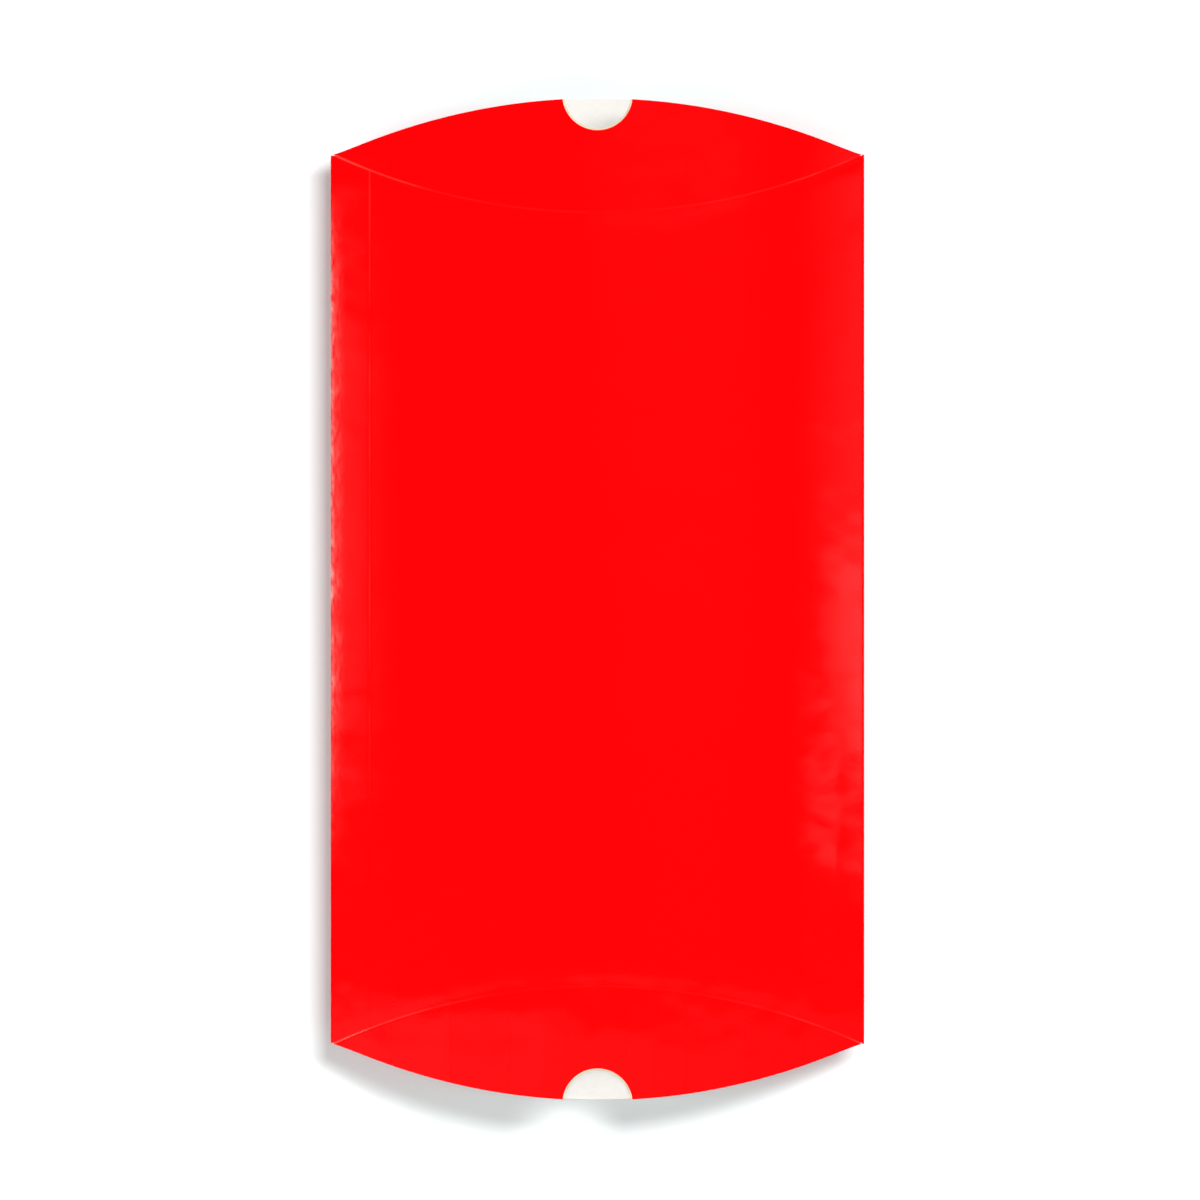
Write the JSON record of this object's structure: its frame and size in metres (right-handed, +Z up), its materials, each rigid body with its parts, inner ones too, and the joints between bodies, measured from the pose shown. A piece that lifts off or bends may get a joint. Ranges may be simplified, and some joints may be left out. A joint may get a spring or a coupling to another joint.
{
  "type": "pillow box",
  "caption": "Glossy red board pillow box: a bowed sleeve with curved creases and end flaps that fold in to close it, the outer ones with a thumb notch.",
  "frame": {"origin": "middle of the bounding box, on the surface that the box lies on", "axes": "+X across the box to its folded edge, +Y along it to the upper end of the picture, +Z up out of the front panel"},
  "size_m": [0.114, 0.2138, 0.0257],
  "materials": {
    "red_gloss_board": "gloss coated",
    "adhesive": "dried glue film"
  },
  "bodies": {
    "sleeve": {"front_panel": "red_gloss_board", "back_panel": "red_gloss_board", "right_side_fold": "red_gloss_board", "left_side_fold": "red_gloss_board", "glue_flap": "red_gloss_board", "glue_line": "adhesive"},
    "top_outer_flap_centre": {"top_outer_flap_centre": "red_gloss_board"},
    "top_outer_flap_left_1": {"top_outer_flap_left_1": "red_gloss_board"},
    "top_outer_flap_right_1": {"top_outer_flap_right_1": "red_gloss_board"},
    "top_outer_flap_left_2": {"top_outer_flap_left_2": "red_gloss_board"},
    "top_outer_flap_right_2": {"top_outer_flap_right_2": "red_gloss_board"},
    "top_outer_flap_left_3": {"top_outer_flap_left_3": "red_gloss_board"},
    "top_outer_flap_right_3": {"top_outer_flap_right_3": "red_gloss_board"},
    "top_outer_flap_left_4": {"top_outer_flap_left_4": "red_gloss_board"},
    "top_outer_flap_right_4": {"top_outer_flap_right_4": "red_gloss_board"},
    "top_inner_flap_centre": {"top_inner_flap_centre": "red_gloss_board"},
    "top_inner_flap_left_1": {"top_inner_flap_left_1": "red_gloss_board"},
    "top_inner_flap_right_1": {"top_inner_flap_right_1": "red_gloss_board"},
    "top_inner_flap_left_2": {"top_inner_flap_left_2": "red_gloss_board"},
    "top_inner_flap_right_2": {"top_inner_flap_right_2": "red_gloss_board"},
    "top_inner_flap_left_3": {"top_inner_flap_left_3": "red_gloss_board"},
    "top_inner_flap_right_3": {"top_inner_flap_right_3": "red_gloss_board"},
    "top_inner_flap_left_4": {"top_inner_flap_left_4": "red_gloss_board"},
    "top_inner_flap_right_4": {"top_inner_flap_right_4": "red_gloss_board"},
    "bottom_outer_flap_centre": {"bottom_outer_flap_centre": "red_gloss_board"},
    "bottom_outer_flap_left_1": {"bottom_outer_flap_left_1": "red_gloss_board"},
    "bottom_outer_flap_right_1": {"bottom_outer_flap_right_1": "red_gloss_board"},
    "bottom_outer_flap_left_2": {"bottom_outer_flap_left_2": "red_gloss_board"},
    "bottom_outer_flap_right_2": {"bottom_outer_flap_right_2": "red_gloss_board"},
    "bottom_outer_flap_left_3": {"bottom_outer_flap_left_3": "red_gloss_board"},
    "bottom_outer_flap_right_3": {"bottom_outer_flap_right_3": "red_gloss_board"},
    "bottom_outer_flap_left_4": {"bottom_outer_flap_left_4": "red_gloss_board"},
    "bottom_outer_flap_right_4": {"bottom_outer_flap_right_4": "red_gloss_board"},
    "bottom_inner_flap_centre": {"bottom_inner_flap_centre": "red_gloss_board"},
    "bottom_inner_flap_left_1": {"bottom_inner_flap_left_1": "red_gloss_board"},
    "bottom_inner_flap_right_1": {"bottom_inner_flap_right_1": "red_gloss_board"},
    "bottom_inner_flap_left_2": {"bottom_inner_flap_left_2": "red_gloss_board"},
    "bottom_inner_flap_right_2": {"bottom_inner_flap_right_2": "red_gloss_board"},
    "bottom_inner_flap_left_3": {"bottom_inner_flap_left_3": "red_gloss_board"},
    "bottom_inner_flap_right_3": {"bottom_inner_flap_right_3": "red_gloss_board"},
    "bottom_inner_flap_left_4": {"bottom_inner_flap_left_4": "red_gloss_board"},
    "bottom_inner_flap_right_4": {"bottom_inner_flap_right_4": "red_gloss_board"}
  },
  "joints": [
    {"name": "top_outer_flap_fold", "type": "hinge", "parent": "sleeve", "child": "top_outer_flap_centre", "pos_m": [0, 0.08275, 0.0251], "axis": [-1, 0, 0], "range_deg": [0, 85]},
    {"name": "top_outer_flap_left_1_fold", "type": "hinge", "parent": "sleeve", "child": "top_outer_flap_left_1", "pos_m": [-0.01257, 0.08334, 0.02451], "axis": [-0.9913, 0.0929, -0.0929], "range_deg": [0, 85.97]},
    {"name": "top_outer_flap_right_1_fold", "type": "hinge", "parent": "sleeve", "child": "top_outer_flap_right_1", "pos_m": [0.01257, 0.08334, 0.02451], "axis": [-0.9913, -0.0929, 0.0929], "range_deg": [0, 85.97]},
    {"name": "top_outer_flap_left_2_fold", "type": "hinge", "parent": "sleeve", "child": "top_outer_flap_left_2", "pos_m": [-0.02513, 0.08511, 0.02274], "axis": [-0.9658, 0.1833, -0.1833], "range_deg": [0, 87.38]},
    {"name": "top_outer_flap_right_2_fold", "type": "hinge", "parent": "sleeve", "child": "top_outer_flap_right_2", "pos_m": [0.02513, 0.08511, 0.02274], "axis": [-0.9658, -0.1833, 0.1833], "range_deg": [0, 87.38]},
    {"name": "top_outer_flap_left_3_fold", "type": "hinge", "parent": "sleeve", "child": "top_outer_flap_left_3", "pos_m": [-0.03768, 0.08813, 0.01972], "axis": [-0.9247, 0.2692, -0.2692], "range_deg": [0, 89.73]},
    {"name": "top_outer_flap_right_3_fold", "type": "hinge", "parent": "sleeve", "child": "top_outer_flap_right_3", "pos_m": [0.03768, 0.08813, 0.01972], "axis": [-0.9247, -0.2692, 0.2692], "range_deg": [0, 89.73]},
    {"name": "top_outer_flap_left_4_fold", "type": "hinge", "parent": "sleeve", "child": "top_outer_flap_left_4", "pos_m": [-0.05022, 0.09248, 0.01537], "axis": [-0.8695, 0.3493, -0.3493], "range_deg": [0, 93.04]},
    {"name": "top_outer_flap_right_4_fold", "type": "hinge", "parent": "sleeve", "child": "top_outer_flap_right_4", "pos_m": [0.05022, 0.09248, 0.01537], "axis": [-0.8695, -0.3493, 0.3493], "range_deg": [0, 93.04]},
    {"name": "top_inner_flap_fold", "type": "hinge", "parent": "sleeve", "child": "top_inner_flap_centre", "pos_m": [0, 0.08275, 0.0006], "axis": [1, 0, 0], "range_deg": [0, 97]},
    {"name": "top_inner_flap_left_1_fold", "type": "hinge", "parent": "sleeve", "child": "top_inner_flap_left_1", "pos_m": [-0.01257, 0.08334, 0.00119], "axis": [0.9913, -0.0929, -0.0929], "range_deg": [0, 98.04]},
    {"name": "top_inner_flap_right_1_fold", "type": "hinge", "parent": "sleeve", "child": "top_inner_flap_right_1", "pos_m": [0.01257, 0.08334, 0.00119], "axis": [0.9913, 0.0929, 0.0929], "range_deg": [0, 98.04]},
    {"name": "top_inner_flap_left_2_fold", "type": "hinge", "parent": "sleeve", "child": "top_inner_flap_left_2", "pos_m": [-0.02513, 0.08511, 0.00296], "axis": [0.9658, -0.1833, -0.1833], "range_deg": [0, 99.65]},
    {"name": "top_inner_flap_right_2_fold", "type": "hinge", "parent": "sleeve", "child": "top_inner_flap_right_2", "pos_m": [0.02513, 0.08511, 0.00296], "axis": [0.9658, 0.1833, 0.1833], "range_deg": [0, 99.65]},
    {"name": "top_inner_flap_left_3_fold", "type": "hinge", "parent": "sleeve", "child": "top_inner_flap_left_3", "pos_m": [-0.03768, 0.08813, 0.00598], "axis": [0.9247, -0.2692, -0.2692], "range_deg": [0, 102.33]},
    {"name": "top_inner_flap_right_3_fold", "type": "hinge", "parent": "sleeve", "child": "top_inner_flap_right_3", "pos_m": [0.03768, 0.08813, 0.00598], "axis": [0.9247, 0.2692, 0.2692], "range_deg": [0, 102.33]},
    {"name": "top_inner_flap_left_4_fold", "type": "hinge", "parent": "sleeve", "child": "top_inner_flap_left_4", "pos_m": [-0.05022, 0.09248, 0.01033], "axis": [0.8695, -0.3493, -0.3493], "range_deg": [0, 106.11]},
    {"name": "top_inner_flap_right_4_fold", "type": "hinge", "parent": "sleeve", "child": "top_inner_flap_right_4", "pos_m": [0.05022, 0.09248, 0.01033], "axis": [0.8695, 0.3493, 0.3493], "range_deg": [0, 106.11]},
    {"name": "bottom_outer_flap_fold", "type": "hinge", "parent": "sleeve", "child": "bottom_outer_flap_centre", "pos_m": [0, -0.08275, 0.0251], "axis": [1, 0, 0], "range_deg": [0, 85]},
    {"name": "bottom_outer_flap_left_1_fold", "type": "hinge", "parent": "sleeve", "child": "bottom_outer_flap_left_1", "pos_m": [-0.01257, -0.08334, 0.02451], "axis": [0.9913, 0.0929, 0.0929], "range_deg": [0, 85.97]},
    {"name": "bottom_outer_flap_right_1_fold", "type": "hinge", "parent": "sleeve", "child": "bottom_outer_flap_right_1", "pos_m": [0.01257, -0.08334, 0.02451], "axis": [0.9913, -0.0929, -0.0929], "range_deg": [0, 85.97]},
    {"name": "bottom_outer_flap_left_2_fold", "type": "hinge", "parent": "sleeve", "child": "bottom_outer_flap_left_2", "pos_m": [-0.02513, -0.08511, 0.02274], "axis": [0.9658, 0.1833, 0.1833], "range_deg": [0, 87.38]},
    {"name": "bottom_outer_flap_right_2_fold", "type": "hinge", "parent": "sleeve", "child": "bottom_outer_flap_right_2", "pos_m": [0.02513, -0.08511, 0.02274], "axis": [0.9658, -0.1833, -0.1833], "range_deg": [0, 87.38]},
    {"name": "bottom_outer_flap_left_3_fold", "type": "hinge", "parent": "sleeve", "child": "bottom_outer_flap_left_3", "pos_m": [-0.03768, -0.08813, 0.01972], "axis": [0.9247, 0.2692, 0.2692], "range_deg": [0, 89.73]},
    {"name": "bottom_outer_flap_right_3_fold", "type": "hinge", "parent": "sleeve", "child": "bottom_outer_flap_right_3", "pos_m": [0.03768, -0.08813, 0.01972], "axis": [0.9247, -0.2692, -0.2692], "range_deg": [0, 89.73]},
    {"name": "bottom_outer_flap_left_4_fold", "type": "hinge", "parent": "sleeve", "child": "bottom_outer_flap_left_4", "pos_m": [-0.05022, -0.09248, 0.01537], "axis": [0.8695, 0.3493, 0.3493], "range_deg": [0, 93.04]},
    {"name": "bottom_outer_flap_right_4_fold", "type": "hinge", "parent": "sleeve", "child": "bottom_outer_flap_right_4", "pos_m": [0.05022, -0.09248, 0.01537], "axis": [0.8695, -0.3493, -0.3493], "range_deg": [0, 93.04]},
    {"name": "bottom_inner_flap_fold", "type": "hinge", "parent": "sleeve", "child": "bottom_inner_flap_centre", "pos_m": [0, -0.08275, 0.0006], "axis": [-1, 0, 0], "range_deg": [0, 97]},
    {"name": "bottom_inner_flap_left_1_fold", "type": "hinge", "parent": "sleeve", "child": "bottom_inner_flap_left_1", "pos_m": [-0.01257, -0.08334, 0.00119], "axis": [-0.9913, -0.0929, 0.0929], "range_deg": [0, 98.04]},
    {"name": "bottom_inner_flap_right_1_fold", "type": "hinge", "parent": "sleeve", "child": "bottom_inner_flap_right_1", "pos_m": [0.01257, -0.08334, 0.00119], "axis": [-0.9913, 0.0929, -0.0929], "range_deg": [0, 98.04]},
    {"name": "bottom_inner_flap_left_2_fold", "type": "hinge", "parent": "sleeve", "child": "bottom_inner_flap_left_2", "pos_m": [-0.02513, -0.08511, 0.00296], "axis": [-0.9658, -0.1833, 0.1833], "range_deg": [0, 99.65]},
    {"name": "bottom_inner_flap_right_2_fold", "type": "hinge", "parent": "sleeve", "child": "bottom_inner_flap_right_2", "pos_m": [0.02513, -0.08511, 0.00296], "axis": [-0.9658, 0.1833, -0.1833], "range_deg": [0, 99.65]},
    {"name": "bottom_inner_flap_left_3_fold", "type": "hinge", "parent": "sleeve", "child": "bottom_inner_flap_left_3", "pos_m": [-0.03768, -0.08813, 0.00598], "axis": [-0.9247, -0.2692, 0.2692], "range_deg": [0, 102.33]},
    {"name": "bottom_inner_flap_right_3_fold", "type": "hinge", "parent": "sleeve", "child": "bottom_inner_flap_right_3", "pos_m": [0.03768, -0.08813, 0.00598], "axis": [-0.9247, 0.2692, -0.2692], "range_deg": [0, 102.33]},
    {"name": "bottom_inner_flap_left_4_fold", "type": "hinge", "parent": "sleeve", "child": "bottom_inner_flap_left_4", "pos_m": [-0.05022, -0.09248, 0.01033], "axis": [-0.8695, -0.3493, 0.3493], "range_deg": [0, 106.11]},
    {"name": "bottom_inner_flap_right_4_fold", "type": "hinge", "parent": "sleeve", "child": "bottom_inner_flap_right_4", "pos_m": [0.05022, -0.09248, 0.01033], "axis": [-0.8695, 0.3493, -0.3493], "range_deg": [0, 106.11]}
  ],
  "couplings": [
    {"joint": "top_outer_flap_left_1_fold", "follows": "top_outer_flap_fold", "ratio": 1.0055},
    {"joint": "top_outer_flap_right_1_fold", "follows": "top_outer_flap_fold", "ratio": 1.0055},
    {"joint": "top_outer_flap_left_2_fold", "follows": "top_outer_flap_fold", "ratio": 1.0221},
    {"joint": "top_outer_flap_right_2_fold", "follows": "top_outer_flap_fold", "ratio": 1.0221},
    {"joint": "top_outer_flap_left_3_fold", "follows": "top_outer_flap_fold", "ratio": 1.0498},
    {"joint": "top_outer_flap_right_3_fold", "follows": "top_outer_flap_fold", "ratio": 1.0498},
    {"joint": "top_outer_flap_left_4_fold", "follows": "top_outer_flap_fold", "ratio": 1.0887},
    {"joint": "top_outer_flap_right_4_fold", "follows": "top_outer_flap_fold", "ratio": 1.0887},
    {"joint": "top_inner_flap_left_1_fold", "follows": "top_inner_flap_fold", "ratio": 1.0055},
    {"joint": "top_inner_flap_right_1_fold", "follows": "top_inner_flap_fold", "ratio": 1.0055},
    {"joint": "top_inner_flap_left_2_fold", "follows": "top_inner_flap_fold", "ratio": 1.0221},
    {"joint": "top_inner_flap_right_2_fold", "follows": "top_inner_flap_fold", "ratio": 1.0221},
    {"joint": "top_inner_flap_left_3_fold", "follows": "top_inner_flap_fold", "ratio": 1.0498},
    {"joint": "top_inner_flap_right_3_fold", "follows": "top_inner_flap_fold", "ratio": 1.0498},
    {"joint": "top_inner_flap_left_4_fold", "follows": "top_inner_flap_fold", "ratio": 1.0887},
    {"joint": "top_inner_flap_right_4_fold", "follows": "top_inner_flap_fold", "ratio": 1.0887},
    {"joint": "bottom_outer_flap_left_1_fold", "follows": "bottom_outer_flap_fold", "ratio": 1.0055},
    {"joint": "bottom_outer_flap_right_1_fold", "follows": "bottom_outer_flap_fold", "ratio": 1.0055},
    {"joint": "bottom_outer_flap_left_2_fold", "follows": "bottom_outer_flap_fold", "ratio": 1.0221},
    {"joint": "bottom_outer_flap_right_2_fold", "follows": "bottom_outer_flap_fold", "ratio": 1.0221},
    {"joint": "bottom_outer_flap_left_3_fold", "follows": "bottom_outer_flap_fold", "ratio": 1.0498},
    {"joint": "bottom_outer_flap_right_3_fold", "follows": "bottom_outer_flap_fold", "ratio": 1.0498},
    {"joint": "bottom_outer_flap_left_4_fold", "follows": "bottom_outer_flap_fold", "ratio": 1.0887},
    {"joint": "bottom_outer_flap_right_4_fold", "follows": "bottom_outer_flap_fold", "ratio": 1.0887},
    {"joint": "bottom_inner_flap_left_1_fold", "follows": "bottom_inner_flap_fold", "ratio": 1.0055},
    {"joint": "bottom_inner_flap_right_1_fold", "follows": "bottom_inner_flap_fold", "ratio": 1.0055},
    {"joint": "bottom_inner_flap_left_2_fold", "follows": "bottom_inner_flap_fold", "ratio": 1.0221},
    {"joint": "bottom_inner_flap_right_2_fold", "follows": "bottom_inner_flap_fold", "ratio": 1.0221},
    {"joint": "bottom_inner_flap_left_3_fold", "follows": "bottom_inner_flap_fold", "ratio": 1.0498},
    {"joint": "bottom_inner_flap_right_3_fold", "follows": "bottom_inner_flap_fold", "ratio": 1.0498},
    {"joint": "bottom_inner_flap_left_4_fold", "follows": "bottom_inner_flap_fold", "ratio": 1.0887},
    {"joint": "bottom_inner_flap_right_4_fold", "follows": "bottom_inner_flap_fold", "ratio": 1.0887}
  ]
}
